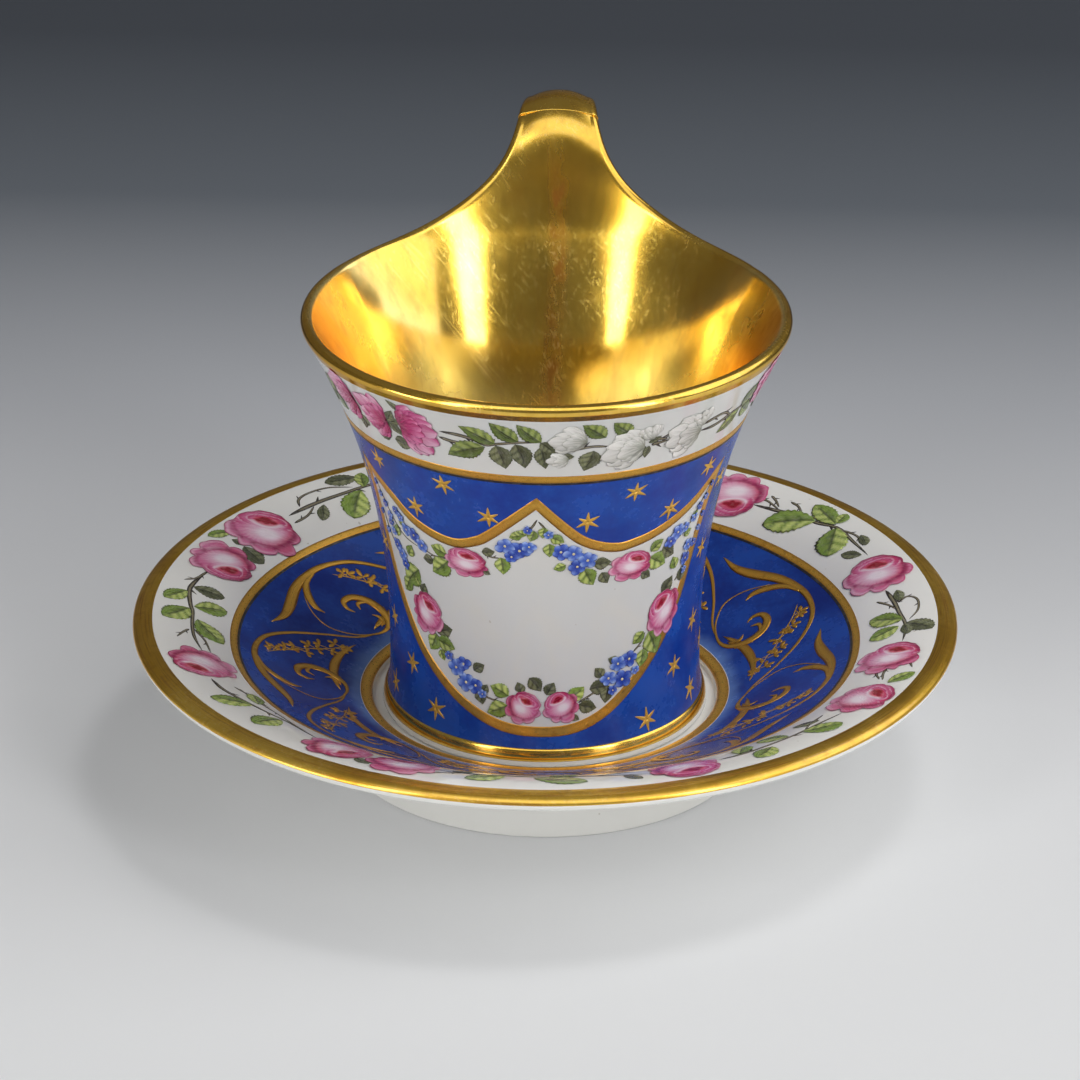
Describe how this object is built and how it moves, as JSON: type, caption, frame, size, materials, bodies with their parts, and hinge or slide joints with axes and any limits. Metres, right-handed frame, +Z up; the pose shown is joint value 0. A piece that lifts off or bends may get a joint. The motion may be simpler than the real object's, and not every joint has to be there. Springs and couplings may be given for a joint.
{
  "type": "cup and saucer",
  "caption": "Flared porcelain cup with a gilt inside and a lip drawn up at the back into a looped strap handle, standing in the recessed well of its footed saucer.",
  "frame": {"origin": "middle of the saucer's foot, on the surface it stands on", "axes": "+Z up, +Y toward the back, where the handle is, -Y toward the cup's painted front, +X to the viewer's right"},
  "size_m": [0.14, 0.14, 0.0985],
  "materials": {
    "cup_body": "glossy blue enamel and white glaze with burnished gilding",
    "cup_handle": "burnished gilding on porcelain",
    "saucer": "glossy white glaze with blue enamel and gilding"
  },
  "bodies": {
    "saucer": {"saucer": "saucer"},
    "cup": {"cup_body": "cup_body", "cup_handle": "cup_handle"}
  },
  "joints": [
    {"name": "cup_lift", "type": "slide", "parent": "saucer", "child": "cup", "axis": [0, 0, 1], "range_m": [0, 0.1]}
  ]
}
